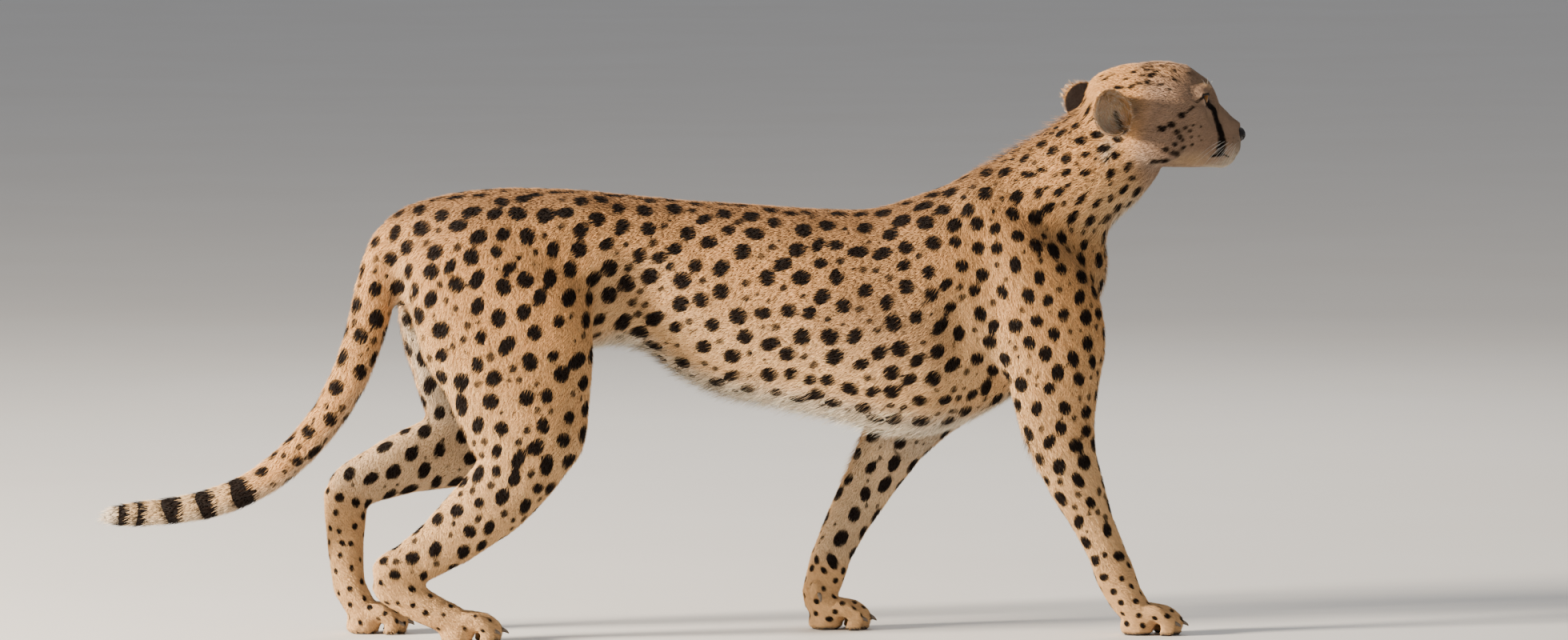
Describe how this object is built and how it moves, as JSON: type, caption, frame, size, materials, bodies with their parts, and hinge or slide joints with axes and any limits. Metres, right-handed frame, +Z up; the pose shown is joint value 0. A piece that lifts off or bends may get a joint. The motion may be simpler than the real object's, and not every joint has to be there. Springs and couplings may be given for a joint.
{
  "type": "cheetah",
  "caption": "Life-size still model of a walking cheetah, head turned and lowered, tail hanging and curling out behind.",
  "frame": {"origin": "on the floor, under the middle of the bounding box", "axes": "+X forward, from the tail's end to the leading forepaw and the nose; +Y to the animal's left; +Z up; the floor is Z = 0"},
  "size_m": [1.6494, 0.2648, 0.8225],
  "materials": {
    "spotted_fur": "short flat fur, tan with dark spots",
    "pale_fur": "short flat fur, pale with small dark spots",
    "amber_eye": "wet gloss, amber with a round dark pupil",
    "nose_leather": "damp fine-grained leather",
    "horn": "dull horn"
  },
  "bodies": {
    "root": {"head": "spotted_fur", "neck": "spotted_fur", "chest": "spotted_fur", "loin": "spotted_fur", "rump": "spotted_fur", "nose": "nose_leather", "ear_left": "spotted_fur", "eye_left": "amber_eye", "ear_right": "spotted_fur", "eye_right": "amber_eye", "tail_1": "spotted_fur", "tail_2": "spotted_fur", "tail_3": "spotted_fur", "tail_4": "spotted_fur", "foreleg_left_upper": "spotted_fur", "foreleg_left_forearm": "pale_fur", "foreleg_left_paw": "pale_fur", "hindleg_left_thigh": "spotted_fur", "hindleg_left_shank": "pale_fur", "hindleg_left_foot": "pale_fur", "foreleg_left_claw_1": "horn", "foreleg_left_claw_2": "horn", "foreleg_left_claw_3": "horn", "foreleg_left_claw_4": "horn", "foreleg_left_claw_5": "horn", "hindleg_left_claw_1": "horn", "hindleg_left_claw_2": "horn", "hindleg_left_claw_3": "horn", "hindleg_left_claw_4": "horn", "foreleg_right_upper": "spotted_fur", "foreleg_right_forearm": "pale_fur", "foreleg_right_paw": "pale_fur", "hindleg_right_thigh": "spotted_fur", "hindleg_right_shank": "pale_fur", "hindleg_right_foot": "pale_fur", "foreleg_right_claw_1": "horn", "foreleg_right_claw_2": "horn", "foreleg_right_claw_3": "horn", "foreleg_right_claw_4": "horn", "foreleg_right_claw_5": "horn", "hindleg_right_claw_1": "horn", "hindleg_right_claw_2": "horn", "hindleg_right_claw_3": "horn", "hindleg_right_claw_4": "horn"}
  },
  "joints": []
}
